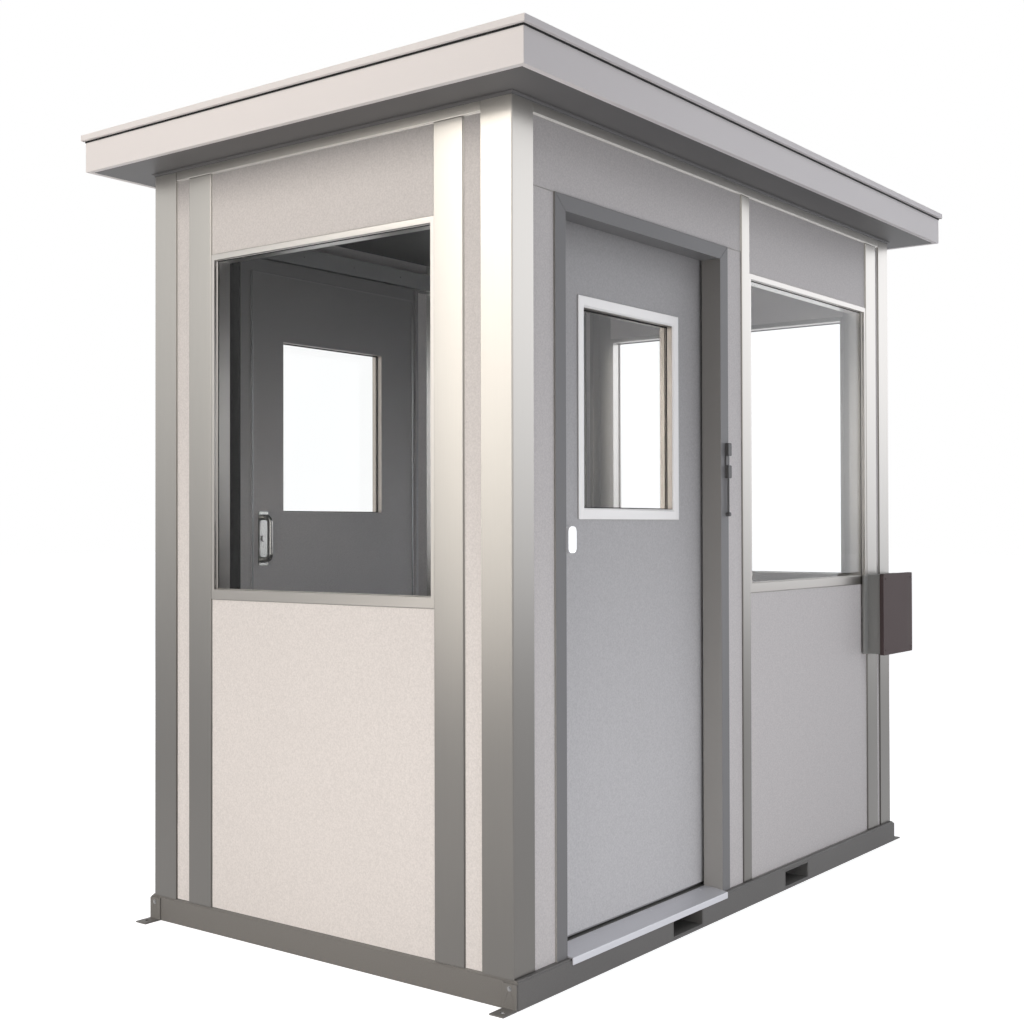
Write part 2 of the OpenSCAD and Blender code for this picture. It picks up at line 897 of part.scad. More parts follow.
// Points of one cove, from its top nib down to the wall
function cove_edge() = concat([[-trim_w, soffit_z]],
  [for (i = [0:arc_steps]) let (a = 90 * i / arc_steps)
    [trim_w * (sin(a) - 1), soffit_z - trim_nib - (trim_h - trim_nib) * (1 - cos(a))]]);

// Breaker box at the near rear corner and the catch on the near door frame

module breaker_box() {
  color([0.39, 0.39, 0.36])
    union() {
      block([box_u0 - backplate_past, box_u1], [-backplate_t, 0], [box_z, box_z + box_h]);
      block([box_u0, box_u1], [cover_t - box_d, 0], [box_z, box_z + box_h]);
    }
}

module breaker_box_cover() {
  color([0.36, 0.31, 0.30])
    union()
      rounded_plate([box_u0 - cover_lip, box_u1 + cover_lip], [-box_d, cover_t - box_d],
                    [box_z - cover_lip, box_z + box_h + cover_lip], cover_round);
}

// Strike plate with two lugs, and a thin rod below it that ends in a guide
module jamb_catch() {
  mid_u = frame_u1 - jamb_face / 4;
  across = [mid_u - catch_w / 2, mid_u + catch_w / 2];
  color([0.12, 0.12, 0.12])
    union() {
      rounded_plate(across, [-catch_plate_t, 0], [catch_z, catch_z + catch_h], catch_plate_t);
      for (z = [catch_z, catch_z + catch_h - lug_h])
        rounded_plate(across, [-catch_d, 0], [z, z + lug_h], catch_plate_t);
      translate([mid_u - booth_l / 2, -booth_w / 2 - catch_d / 2, catch_z - rod_len])
        cylinder(d = rod_d, h = rod_len + eps);
      pin(mid_u, [-catch_d, 0], catch_z - rod_len + rod_d, 2 * rod_d);
    }
}

base_long_rails();
base_end_rails();
fork_pockets();
anchor_clips();
floor_deck();
corner_posts();
end_wall_studs();
long_wall_mullions();
front_wall_panels();
rear_wall_panels();
near_wall_panels();
far_wall_panels();
near_door_side_panels();
far_door_side_panels();
front_window_frame();
rear_window_frame();
near_window_frame();
far_window_frame();
window_glass();
near_door_frame();
far_door_frame();
door_thresholds();
door_tracks();
near_door_leaf();
far_door_leaf();
near_door_lite_frame();
far_door_lite_frame();
near_door_lite_glass();
far_door_lite_glass();
near_door_handles();
far_door_handles();
near_door_hangers();
far_door_hangers();
near_door_nose();
far_door_nose();
wall_top_rails();
soffit_trim();
ceiling_panel();
roof_panel();
end_fascias();
side_fascias();
roof_cap();
breaker_box();
breaker_box_cover();
jamb_catch();
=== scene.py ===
# %% [markdown]
# # Dressing a security guard booth
# The booth arrives as a fixed frame of plain solids in metres: steel base, aluminium posts, wall
# panels, windows, two sliding doors and a flat roof. This lesson gives each solid its finish and adds
# the thin trim that a solid model leaves out. Nothing from the frame is moved.

# %% Load the frame
import json
import math

import bmesh
import bpy
from mathutils import Matrix, Vector


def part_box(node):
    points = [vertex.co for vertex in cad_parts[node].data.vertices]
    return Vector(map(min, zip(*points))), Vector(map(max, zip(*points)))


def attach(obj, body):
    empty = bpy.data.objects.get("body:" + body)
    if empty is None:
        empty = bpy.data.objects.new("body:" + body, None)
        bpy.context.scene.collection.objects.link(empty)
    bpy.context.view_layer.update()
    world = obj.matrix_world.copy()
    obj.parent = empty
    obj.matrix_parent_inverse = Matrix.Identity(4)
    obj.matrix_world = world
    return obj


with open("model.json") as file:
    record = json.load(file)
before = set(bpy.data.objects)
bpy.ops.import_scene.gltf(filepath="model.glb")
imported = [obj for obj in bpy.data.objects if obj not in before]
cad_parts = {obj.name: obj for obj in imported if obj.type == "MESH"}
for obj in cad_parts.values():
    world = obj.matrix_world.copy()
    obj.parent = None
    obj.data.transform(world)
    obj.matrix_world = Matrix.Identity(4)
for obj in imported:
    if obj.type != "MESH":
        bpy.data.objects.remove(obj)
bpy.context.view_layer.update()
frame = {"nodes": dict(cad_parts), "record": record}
MM = 0.001

# %% [markdown]
# ## The camera
# The picture was taken with a normal lens from a little below eye level, off the near front corner.
# A camera could be aimed with a Track To constraint, but the small roll would be lost. Writing the
# three axes of the camera into its matrix keeps yaw, pitch and roll in plain sight.

# %% Camera
CAMERA_PLACE = Vector((-4.38093, -3.09247, 1.31536))
CAMERA_YAW = 0.64979
CAMERA_PITCH = 0.01108
CAMERA_ROLL = -0.00231
CAMERA_LENS = 49.65


def camera_axes(yaw, pitch, roll):
    """Right, up and forward of a camera whose yaw turns from +X toward +Y."""
    forward = Vector((math.cos(yaw) * math.cos(pitch), math.sin(yaw) * math.cos(pitch), math.sin(pitch)))
    level = Vector((math.sin(yaw), -math.cos(yaw), 0))
    upright = level.cross(forward)
    right = level * math.cos(roll) + upright * math.sin(roll)
    up = upright * math.cos(roll) - level * math.sin(roll)
    return right, up, forward


camera_data = bpy.data.cameras.new("booth_camera")
camera_data.sensor_width = 36
camera_data.lens = CAMERA_LENS
camera = bpy.data.objects.new("booth_camera", camera_data)
right, up, forward = camera_axes(CAMERA_YAW, CAMERA_PITCH, CAMERA_ROLL)
camera.matrix_world = Matrix((right, up, -forward)).transposed().to_4x4()
camera.location = CAMERA_PLACE
bpy.context.collection.objects.link(camera)
bpy.context.scene.camera = camera
bpy.context.scene.view_settings.view_transform = "Standard"
print("camera at", [round(v, 2) for v in camera.location], "lens", CAMERA_LENS)

# %% [markdown]
# ## Floor, world and lamps
# A studio sweep could be modelled, but a white world and a large pale floor do the same job. Light
# Path tells the shader which rays come from the camera, a reflection or glass: those see white. All
# other rays see a calmer level, so the booth isn't flooded. The floor adds a little glow for the same
# rays and still catches the shadow.

# %% World and floor
SKY_LEVEL = 0.27
SKY_TINT = (0.96, 0.98, 1.04, 1)
FLOOR_TONE = (0.55, 0.55, 0.56, 1)
FLOOR_GLOW = 0.86
FLOOR_SIZE = 120


def seen_directly(nodes, links):
    """A value of 1 for camera, glossy and transmission rays before any diffuse bounce, else 0."""
    path = nodes.new("ShaderNodeLightPath")
    camera_or_gloss = nodes.new("ShaderNodeMath")
    camera_or_gloss.operation = "MAXIMUM"
    links.new(path.outputs["Is Camera Ray"], camera_or_gloss.inputs[0])
    links.new(path.outputs["Is Glossy Ray"], camera_or_gloss.inputs[1])
    any_of_them = nodes.new("ShaderNodeMath")
    any_of_them.operation = "MAXIMUM"
    links.new(camera_or_gloss.outputs[0], any_of_them.inputs[0])
    links.new(path.outputs["Is Transmission Ray"], any_of_them.inputs[1])
    unscattered = nodes.new("ShaderNodeMath")
    unscattered.operation = "LESS_THAN"
    unscattered.inputs[1].default_value = 0.5
    links.new(path.outputs["Diffuse Depth"], unscattered.inputs[0])
    both = nodes.new("ShaderNodeMath")
    both.operation = "MULTIPLY"
    links.new(any_of_them.outputs[0], both.inputs[0])
    links.new(unscattered.outputs[0], both.inputs[1])
    return both.outputs[0]


def white_world():
    world = bpy.data.worlds.new("studio")
    world.use_nodes = True
    nodes, links = world.node_tree.nodes, world.node_tree.links
    sky = nodes["Background"]
    sky.inputs["Color"].default_value = SKY_TINT
    sky.inputs["Strength"].default_value = SKY_LEVEL
    white = nodes.new("ShaderNodeBackground")
    white.inputs["Color"].default_value = (1, 1, 1, 1)
    white.inputs["Strength"].default_value = 1
    mix = nodes.new("ShaderNodeMixShader")
    links.new(seen_directly(nodes, links), mix.inputs["Fac"])
    links.new(sky.outputs[0], mix.inputs[1])
    links.new(white.outputs[0], mix.inputs[2])
    links.new(mix.outputs[0], nodes["World Output"].inputs["Surface"])
    return world


def floor_finish():
    material = bpy.data.materials.new("studio_floor")
    material.use_nodes = True
    nodes, links = material.node_tree.nodes, material.node_tree.links
    nodes.clear()
    paint = nodes.new("ShaderNodeBsdfDiffuse")
    paint.inputs["Color"].default_value = FLOOR_TONE
    glow = nodes.new("ShaderNodeEmission")
    level = nodes.new("ShaderNodeMath")
    level.operation = "MULTIPLY"
    level.inputs[1].default_value = FLOOR_GLOW
    links.new(seen_directly(nodes, links), level.inputs[0])
    links.new(level.outputs[0], glow.inputs["Strength"])
    both = nodes.new("ShaderNodeAddShader")
    links.new(paint.outputs[0], both.inputs[0])
    links.new(glow.outputs[0], both.inputs[1])
    output = nodes.new("ShaderNodeOutputMaterial")
    links.new(both.outputs[0], output.inputs["Surface"])
    return material


bpy.context.scene.world = white_world()
floor_mesh = bpy.data.meshes.new("studio_floor")
half = FLOOR_SIZE / 2
floor_mesh.from_pydata([(-half, -half, 0), (half, -half, 0), (half, half, 0), (-half, half, 0)],
                       [], [(0, 1, 2, 3)])
floor_mesh.materials.append(floor_finish())
floor = bpy.data.objects.new("studio_floor", floor_mesh)
bpy.context.collection.objects.link(floor)
print("floor", FLOOR_SIZE, "m, sky level", SKY_LEVEL)

# %% [markdown]
# The lamps follow the picture. For each of the two walls that show there is a high key, which leaves
# the strip under the eaves darker, a low card that lifts the foot of the wall as pale ground would, and
# an upright strip that only matters as a long highlight in the metal. A broad fill behind keeps the two
# hidden walls readable from other sides. A single sun would be simpler, but its hard shadow isn't in the
# picture.

# %% Lamps
WARM = (1.0, 0.94, 0.87)
COOL = (0.95, 0.97, 1.04)
LAMPS = {
    "front_key": dict(place=(-5.6, 1.2, 5.0), aim=(-1.3, 0.0, 1.0), size=(2.8, 2.8), power=155, tint=WARM),
    "front_card": dict(place=(-3.5, -0.2, 0.3), aim=(-1.3, -0.1, 0.5), size=(3.4, 0.5), power=33, tint=WARM,
                       mirrored=False),
    "front_strip": dict(place=(-5.9, 2.85, 2.2), aim=(-1.3, -0.6, 1.7), size=(0.9, 3.9), power=46, tint=WARM,
                        scattered=False),
    "corner_strip": dict(place=(-5.4, -5.8, 2.6), aim=(-1.3, -0.8, 1.6), size=(4.5, 4.6), power=70, tint=WARM,
                         scattered=False),
    "side_key": dict(place=(1.2, -4.6, 6.6), aim=(0.2, -0.7, 1.0), size=(3.0, 3.0), power=66, tint=COOL),
    "side_card": dict(place=(-0.7, -3.1, 0.3), aim=(-0.2, -0.76, 0.5), size=(3.6, 0.5), power=24, tint=COOL,
                      mirrored=False),
    "side_strip": dict(place=(7.6, -5.2, 3.1), aim=(0.6, -0.7, 2.0), size=(8.0, 5.6), power=150, tint=COOL,
                       scattered=False),
    "back_fill": dict(place=(4.6, 4.8, 4.6), aim=(0.6, 0.4, 1.2), size=(4.0, 4.0), power=200, tint=COOL,
                      mirrored=False, through_glass=False),
}


def soft_lamp(name, place, aim, size, power, tint, mirrored=True, scattered=True, through_glass=True):
    data = bpy.data.lights.new(name, "AREA")
    data.shape = "RECTANGLE"
    data.size, data.size_y = size
    data.energy = power
    data.color = tint
    lamp = bpy.data.objects.new(name, data)
    lamp.location = place
    lamp.rotation_euler = (Vector(aim) - Vector(place)).to_track_quat("-Z", "Y").to_euler()
    lamp.visible_camera = False
    lamp.visible_transmission = through_glass
    lamp.visible_glossy = mirrored
    lamp.visible_diffuse = scattered
    bpy.context.collection.objects.link(lamp)
    return lamp


for name, setting in LAMPS.items():
    soft_lamp(name, **setting)
print("lamps:", list(LAMPS))

# %% [markdown]
# ## Shared effects
# Three effects come back in many finishes, so each is a shader node group. `paint_grain` is the fine
# orange peel and slight cloudiness of sprayed sheet. `brushed_lines` is the fine streak left by
# extruding or brushing metal. `painted_height_shade` blends two colours by height, which paints light
# and shade into a finish: painted reflection that keeps metal bright under the eaves and dull toward the
# ground, and painted shade on the doors. A group hands out colours, masks and heights only: the shader
# itself stays in the material.

# %% Group helper
def new_group(name, inputs, outputs):
    """An empty shader group with its sockets made, and its two end nodes."""
    group = bpy.data.node_groups.new(name, "ShaderNodeTree")
    for label, kind, default in inputs:
        socket = group.interface.new_socket(label, in_out="INPUT", socket_type=kind)
        socket.default_value = default
    for label, kind in outputs:
        group.interface.new_socket(label, in_out="OUTPUT", socket_type=kind)
    return group, group.nodes.new("NodeGroupInput"), group.nodes.new("NodeGroupOutput")


def add_node(tree, kind, **settings):
    node = tree.nodes.new(kind)
    for key, value in settings.items():
        setattr(node, key, value)
    return node


def tinted(tree, color, factor):
    """Multiplies a colour by a grey factor, both given as sockets."""
    mix = add_node(tree, "ShaderNodeMix", data_type="RGBA", blend_type="MULTIPLY")
    mix.inputs["Factor"].default_value = 1
    tree.links.new(color, mix.inputs["A"])
    tree.links.new(factor, mix.inputs["B"])
    return mix.outputs["Result"]


def spread(tree, value, low, high, low_socket=None, high_socket=None):
    """Maps 0..1 to low..high, where either end may come from a socket."""
    ramp = add_node(tree, "ShaderNodeMapRange")
    tree.links.new(value, ramp.inputs["Value"])
    ramp.inputs["To Min"].default_value = low
    ramp.inputs["To Max"].default_value = high
    if low_socket:
        tree.links.new(low_socket, ramp.inputs["To Min"])
    if high_socket:
        tree.links.new(high_socket, ramp.inputs["To Max"])
    return ramp.outputs["Result"]


# %% Paint grain
CLOUD_SCALE = 2.4
CLOUD_SHARE = 0.12


def paint_grain_group():
    group, given, result = new_group(
        "paint_grain",
        [("Color", "NodeSocketColor", (0.5, 0.5, 0.5, 1)), ("Grain Scale", "NodeSocketFloat", 900),
         ("Darkest", "NodeSocketFloat", 0.95), ("Smooth", "NodeSocketFloat", 0.4),
         ("Rough", "NodeSocketFloat", 0.5)],
        [("Color", "NodeSocketColor"), ("Roughness", "NodeSocketFloat"), ("Height", "NodeSocketFloat")])
    place = add_node(group, "ShaderNodeTexCoord")
    grain = add_node(group, "ShaderNodeTexNoise")
    grain.inputs["Detail"].default_value = 2
    cloud = add_node(group, "ShaderNodeTexNoise")
    cloud.inputs["Scale"].default_value = CLOUD_SCALE
    cloud.inputs["Detail"].default_value = 5
    group.links.new(place.outputs["Object"], grain.inputs["Vector"])
    group.links.new(place.outputs["Object"], cloud.inputs["Vector"])
    group.links.new(given.outputs["Grain Scale"], grain.inputs["Scale"])
    blend = add_node(group, "ShaderNodeMix", data_type="FLOAT")
    blend.inputs["Factor"].default_value = CLOUD_SHARE
    group.links.new(grain.outputs["Fac"], blend.inputs["A"])
    group.links.new(cloud.outputs["Fac"], blend.inputs["B"])
    lightest = add_node(group, "ShaderNodeMath", operation="SUBTRACT")
    lightest.inputs[0].default_value = 2
    group.links.new(given.outputs["Darkest"], lightest.inputs[1])
    shade = spread(group, blend.outputs["Result"], 0.9, 1.1, given.outputs["Darkest"], lightest.outputs[0])
    group.links.new(tinted(group, given.outputs["Color"], shade), result.inputs["Color"])
    rough = spread(group, cloud.outputs["Fac"], 0, 1, given.outputs["Smooth"], given.outputs["Rough"])
    group.links.new(rough, result.inputs["Roughness"])
    group.links.new(grain.outputs["Fac"], result.inputs["Height"])
    return group


# %% Brushed lines
def brushed_lines_group():
    group, given, result = new_group(
        "brushed_lines",
        [("Color", "NodeSocketColor", (0.5, 0.5, 0.5, 1)), ("Stretch", "NodeSocketVector", (700, 700, 6)),
         ("Darkest", "NodeSocketFloat", 0.9), ("Smooth", "NodeSocketFloat", 0.25),
         ("Rough", "NodeSocketFloat", 0.4)],
        [("Color", "NodeSocketColor"), ("Roughness", "NodeSocketFloat"), ("Height", "NodeSocketFloat")])
    place = add_node(group, "ShaderNodeTexCoord")
    mapping = add_node(group, "ShaderNodeMapping")
    group.links.new(place.outputs["Object"], mapping.inputs["Vector"])
    group.links.new(given.outputs["Stretch"], mapping.inputs["Scale"])
    streak = add_node(group, "ShaderNodeTexNoise")
    streak.inputs["Scale"].default_value = 1
    streak.inputs["Detail"].default_value = 3
    group.links.new(mapping.outputs["Vector"], streak.inputs["Vector"])
    shade = spread(group, streak.outputs["Fac"], 0.9, 1.03, low_socket=given.outputs["Darkest"])
    group.links.new(tinted(group, given.outputs["Color"], shade), result.inputs["Color"])
    rough = spread(group, streak.outputs["Fac"], 0, 1, given.outputs["Smooth"], given.outputs["Rough"])
    group.links.new(rough, result.inputs["Roughness"])
    group.links.new(streak.outputs["Fac"], result.inputs["Height"])
    return group


# %% Painted height shade
# Painted light and shade: the colour follows height alone, eased from the foot colour to the head colour.
def painted_height_shade_group():
    group, given, result = new_group(
        "painted_height_shade",
        [("Foot Color", "NodeSocketColor", (0.2, 0.2, 0.2, 1)),
         ("Head Color", "NodeSocketColor", (0.8, 0.8, 0.8, 1)),
         ("Foot Height", "NodeSocketFloat", 0.1), ("Head Height", "NodeSocketFloat", 2.2)],
        [("Color", "NodeSocketColor"), ("Mask", "NodeSocketFloat")])
    place = add_node(group, "ShaderNodeTexCoord")
    split = add_node(group, "ShaderNodeSeparateXYZ")
    group.links.new(place.outputs["Object"], split.inputs["Vector"])
    fade = add_node(group, "ShaderNodeMapRange", interpolation_type="SMOOTHSTEP")
    group.links.new(split.outputs["Z"], fade.inputs["Value"])
    group.links.new(given.outputs["Foot Height"], fade.inputs["From Min"])
    group.links.new(given.outputs["Head Height"], fade.inputs["From Max"])
    mix = add_node(group, "ShaderNodeMix", data_type="RGBA")
    group.links.new(fade.outputs["Result"], mix.inputs["Factor"])
    group.links.new(given.outputs["Foot Color"], mix.inputs["A"])
    group.links.new(given.outputs["Head Color"], mix.inputs["B"])
    group.links.new(mix.outputs["Result"], result.inputs["Color"])
    group.links.new(fade.outputs["Result"], result.inputs["Mask"])
    return group


PAINT_GRAIN = paint_grain_group()
BRUSHED_LINES = brushed_lines_group()
PAINTED_HEIGHT_SHADE = painted_height_shade_group()
print("groups:", [group.name for group in (PAINT_GRAIN, BRUSHED_LINES, PAINTED_HEIGHT_SHADE)])

# %% [markdown]
# ## Finishes
# Each finish is a Principled shader with its constants on the shader's own sockets, fed by one or two
# of the groups. Colours are written as sRGB bytes, which is how a paint card gives them, and turned
# into the linear values that Blender works in.

# %% Finish helpers
def paint_card(red, green, blue):
    """An sRGB colour card as linear RGBA."""
    def linear(byte):
        part = byte / 255
        return part / 12.92 if part <= 0.04045 else ((part + 0.055) / 1.055) ** 2.4
    return (linear(red), linear(green), linear(blue), 1)


def new_finish(name, **sockets):
    """A material with a bare Principled shader; returns the material and its tree."""
    material = bpy.data.materials.new(name)
    material.use_nodes = True
    shader = material.node_tree.nodes["Principled BSDF"]
    for label, value in sockets.items():
        shader.inputs[label.replace("_", " ")].default_value = value
    return material, material.node_tree


def place_group(tree, group, **values):
    node = add_node(tree, "ShaderNodeGroup", node_tree=group)
    for label, value in values.items():
        node.inputs[label.replace("_", " ")].default_value = value
    return node


def wire_finish(tree, group_node, bump, distance):
    """Feeds a group's colour, roughness and height to the shader."""
    shader = tree.nodes["Principled BSDF"]
    tree.links.new(group_node.outputs["Color"], shader.inputs["Base Color"])
    tree.links.new(group_node.outputs["Roughness"], shader.inputs["Roughness"])
    relief = add_node(tree, "ShaderNodeBump")
    relief.inputs["Strength"].default_value = bump
    relief.inputs["Distance"].default_value = distance
    tree.links.new(group_node.outputs["Height"], relief.inputs["Height"])
    tree.links.new(relief.outputs["Normal"], shader.inputs["Normal"])


def painted(name, color, grain=900, darkest=0.94, smooth=0.42, rough=0.55, bump=0.12, shine=0.25):
    """Sprayed paint or moulded plastic: grain in colour, gloss and relief."""
    material, tree = new_finish(name, Specular_IOR_Level=shine)
    grain_node = place_group(tree, PAINT_GRAIN, Color=color, Grain_Scale=grain, Darkest=darkest,
                             Smooth=smooth, Rough=rough)
    wire_finish(tree, grain_node, bump, 0.0006)
    return material


def brushed(name, color, stretch, darkest=0.9, smooth=0.22, rough=0.4, bump=0.08, metallic=1.0):
    """Extruded or brushed metal with its streaks along one axis."""
    material, tree = new_finish(name, Metallic=metallic)
    lines = place_group(tree, BRUSHED_LINES, Color=color, Stretch=stretch, Darkest=darkest,
                        Smooth=smooth, Rough=rough)
    wire_finish(tree, lines, bump, 0.0004)
    return material


def shaded_by_height(material, foot, head, foot_height, head_height):
    """Paints light and shade into a finish by height, from one colour at the foot to another at the head."""
    tree = material.node_tree
    fade = place_group(tree, PAINTED_HEIGHT_SHADE, Foot_Color=foot, Head_Color=head, Foot_Height=foot_height,
                       Head_Height=head_height)
    surface = next(node for node in tree.nodes if node.type == "GROUP" and node.node_tree != PAINTED_HEIGHT_SHADE)
    tree.links.new(fade.outputs["Color"], surface.inputs["Color"])
    return material


# A low index keeps the mirror image of the white studio faint; a flat pane bends nothing visibly anyway.
LOW_INDEX = 1.18


def clear_glass(name, tint, smear):
    """Clear sheet: transmission stays a constant, and only the tint drifts a little, as from wiping."""
    material, tree = new_finish(name, Roughness=0.0, IOR=LOW_INDEX, Transmission_Weight=1.0)
    wiped = place_group(tree, PAINT_GRAIN, Color=tint, Grain_Scale=6, Darkest=smear)
    tree.links.new(wiped.outputs["Color"], tree.nodes["Principled BSDF"].inputs["Base Color"])
    return material


# %% The booth's finishes, by the record's slots
UPRIGHT = (900, 900, 5)
LENGTHWISE = (5, 900, 900)
POST_METAL = brushed("post_aluminium", (1, 1, 1, 1), UPRIGHT, 0.93, 0.26, 0.36, 0.06)
BAR_METAL = brushed("window_bar_aluminium", (1, 1, 1, 1), LENGTHWISE, 0.93, 0.28, 0.4, 0.06)
LEAF_PAINT = painted("door_leaf_paint", (1, 1, 1, 1), grain=190, darkest=0.78, bump=0.4)
FINISH = {
    "wall_panel": painted("wall_panel_paint", paint_card(211, 206, 203), grain=190, darkest=0.78, bump=0.4),
    "fascia": painted("fascia_paint", paint_card(234, 229, 227)),
    # The leaf's outside darkens toward its head: painted shade from the door head and the eaves.
    "door_leaf": shaded_by_height(LEAF_PAINT, paint_card(208, 206, 205), paint_card(176, 174, 173), 0.15, 2.25),
    "door_frame": painted("door_frame_paint", paint_card(122, 121, 121), grain=600, smooth=0.35, rough=0.48),
    # The soffit's dark grey is painted shade, standing in for the shade under the eaves.
    "soffit": painted("soffit_paint", paint_card(98, 97, 97), grain=600),
    # The ceiling's near black is painted shade, standing in for the dim top of the room.
    "ceiling": painted("ceiling_board", paint_card(44, 44, 43), grain=500),
    "base_steel": painted("base_paint", paint_card(114, 112, 109), grain=420, darkest=0.86, bump=0.2,
                          shine=0.15),
    "floor": painted("deck_coating", paint_card(104, 103, 100), grain=260, darkest=0.8, rough=0.7, bump=0.3),
    # Posts and window bars carry painted reflection: bright under the eaves, darker toward the ground, where
    # the metal mirrors a darker floor.
    "post_aluminium": shaded_by_height(POST_METAL, paint_card(112, 110, 107), paint_card(178, 175, 170), 0.4, 2.3),
    "window_bar": shaded_by_height(BAR_METAL, paint_card(144, 141, 137), paint_card(182, 179, 175), 0.8, 2.1),
    "bright_metal": brushed("threshold_metal", paint_card(222, 222, 226), LENGTHWISE, 0.9, 0.3, 0.45,
                            metallic=0.35),
    "track_steel": brushed("track_steel", paint_card(150, 150, 150), LENGTHWISE, 0.85, 0.3, 0.45),
    "lite_trim": brushed("lite_trim_enamel", paint_card(243, 241, 238), UPRIGHT, 0.97, 0.42, 0.52, 0.04,
                         metallic=0.2),
    "glass": clear_glass("window_glass", (0.985, 0.99, 0.99, 1), 0.99),
    "rubber": painted("seal_rubber", paint_card(38, 38, 38), grain=300, darkest=0.8, smooth=0.6, rough=0.8),
    "box_grey": painted("breaker_box_paint", paint_card(146, 145, 141), grain=500),
    "box_brown": painted("box_cover_paint", paint_card(84, 72, 71), grain=500, smooth=0.45, rough=0.6,
                         shine=0.1),
    "catch_black": painted("catch_coating", paint_card(98, 97, 96), grain=400, smooth=0.35, rough=0.5),
}
PULL_WHITE = brushed("pull_enamel", paint_card(252, 252, 252), UPRIGHT, 0.98, 0.25, 0.35, 0.02, metallic=0.85)
GRIP_CHROME = brushed("grip_chrome", paint_card(158, 157, 154), UPRIGHT, 0.85, 0.15, 0.3)
# The leaf's inner face runs from pale at the foot to dark at the head: painted light and shade of the room.
LEAF_INSIDE_PAINTED_SHADE = shaded_by_height(painted("door_leaf_inside_painted_shade", (1, 1, 1, 1), grain=190, darkest=0.78, bump=0.4),
                    paint_card(236, 234, 234), paint_card(126, 125, 125), 0.9, 2.25)
# The jambs take a paler copy of the frame paint, brighter toward the foot: painted light and a painted sheen.
JAMB_PAINTED_SHEEN = shaded_by_height(painted("door_jamb_painted_sheen", (1, 1, 1, 1), grain=600, smooth=0.3, rough=0.45),
                   paint_card(178, 175, 170), paint_card(148, 145, 141), 0.1, 2.2)
# The faces round a door light take a bright metal: painted light on a reveal that falls in shade.
LITE_REVEAL_PAINTED_LIGHT = brushed("lite_reveal_painted_light", paint_card(166, 159, 152), UPRIGHT, 0.95, 0.32, 0.44, 0.04,
                      metallic=0.9)
print("finishes:", len(FINISH) + 5)

# %% [markdown]
# ## Finishing the solids
# A solid from the frame has razor edges, which never catch light. Its own mesh must stay, so the
# rounding is a stack of modifiers: Weld joins the loose triangles, Bevel rounds edges sharper than a
# limit, and Weighted Normal keeps the flat faces flat.

# %% Soften and paint every node
EDGE_ROUND = {
    "post_aluminium": 2.5, "fascia": 1.5, "door_leaf": 2.0, "door_frame": 1.2,
    "base_steel": 2.0, "window_bar": 1.2, "bright_metal": 1.5, "lite_trim": 1.6, "box_grey": 3.0,
    "box_brown": 4.0, "catch_black": 1.5, "rubber": 3.0, "soffit": 1.0,
}
SHARP_ANGLE = math.radians(35)
WELD_REACH = 0.02 * MM


def soften(piece, width, welded=False):
    if welded:
        weld = piece.modifiers.new("weld", "WELD")
        weld.merge_threshold = WELD_REACH
    bevel = piece.modifiers.new("edge_round", "BEVEL")
    bevel.width = width
    bevel.segments = 2
    bevel.limit_method = "ANGLE"
    bevel.angle_limit = SHARP_ANGLE
    bevel.use_clamp_overlap = True
    even = piece.modifiers.new("even_normals", "WEIGHTED_NORMAL")
    even.keep_sharp = False


for part in frame["record"]["subparts"]:
    node = frame["nodes"][part["node"]]
    slot = part["material_slot"]
    node.data.materials.clear()
    node.data.materials.append(FINISH[slot])
    if slot in EDGE_ROUND:
        soften(node, EDGE_ROUND[slot] * MM, welded=True)

# %% [markdown]
# Three pieces carry more than one finish. The handle's pull is white enamel outside and dark chrome
# inside. The door frame's jambs take a paler copy of its paint, painted light with a painted sheen at
# the foot; the leaf's inner face takes a copy running from pale at the foot to dark at the head, painted
# light and shade, and the faces round its light take a bright metal, painted light. More material
# slots, given to the faces that a rule picks, tell them apart without touching a vertex.

# %% Second finishes
# How far a face's normal lies along an axis: nearly all of it, or hardly any.
SQUARE_ON = 0.9
EDGE_ON = 0.5
# Place of the bright reveal round the light, painted light, among the leaf's finishes.
LIT_REVEAL = 2


def finish_by_face(node_name, finishes, pick):
    """Gives each face of a node the finish whose number the rule picks."""
    mesh = frame["nodes"][node_name].data
    mesh.materials.clear()
    for finish in finishes:
        mesh.materials.append(finish)
    for face in mesh.polygons:
        face.material_index = int(pick(face))


for side in ("near", "far"):
    leaf_low, leaf_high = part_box(side + "_door_leaf")
    lite_low, lite_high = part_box(side + "_door_lite_frame")
    middle = abs(leaf_low.y + leaf_high.y) / 2

    def faces_room(face):
        return abs(face.center.y) < middle

    def is_jamb(face):
        return abs(face.normal.x) > SQUARE_ON

    def leaf_finish(face):
        in_lite_reveal = (abs(face.normal.y) < EDGE_ON and lite_low.x < face.center.x < lite_high.x
                       and lite_low.z < face.center.z < lite_high.z)
        return LIT_REVEAL if in_lite_reveal else faces_room(face)

    finish_by_face(side + "_door_handles", (PULL_WHITE, GRIP_CHROME), faces_room)
    finish_by_face(side + "_door_leaf", (FINISH["door_leaf"], LEAF_INSIDE_PAINTED_SHADE, LITE_REVEAL_PAINTED_LIGHT), leaf_finish)
    finish_by_face(side + "_door_frame", (FINISH["door_frame"], JAMB_PAINTED_SHEEN), is_jamb)
print("more than one finish on handles, leaves and door frames")

# %% [markdown]
# ## Helpers for the added trim
# Most of the trim is a small profile that runs round a rectangle with mitred corners: gaskets and
# edge beads. `mitred_ring` builds that from a profile given as (inward, outward) pairs. Rectangles come
# from the frame: `solids_of` merges a copy of a node's triangles, finds the separate solids and gives
# their boxes.

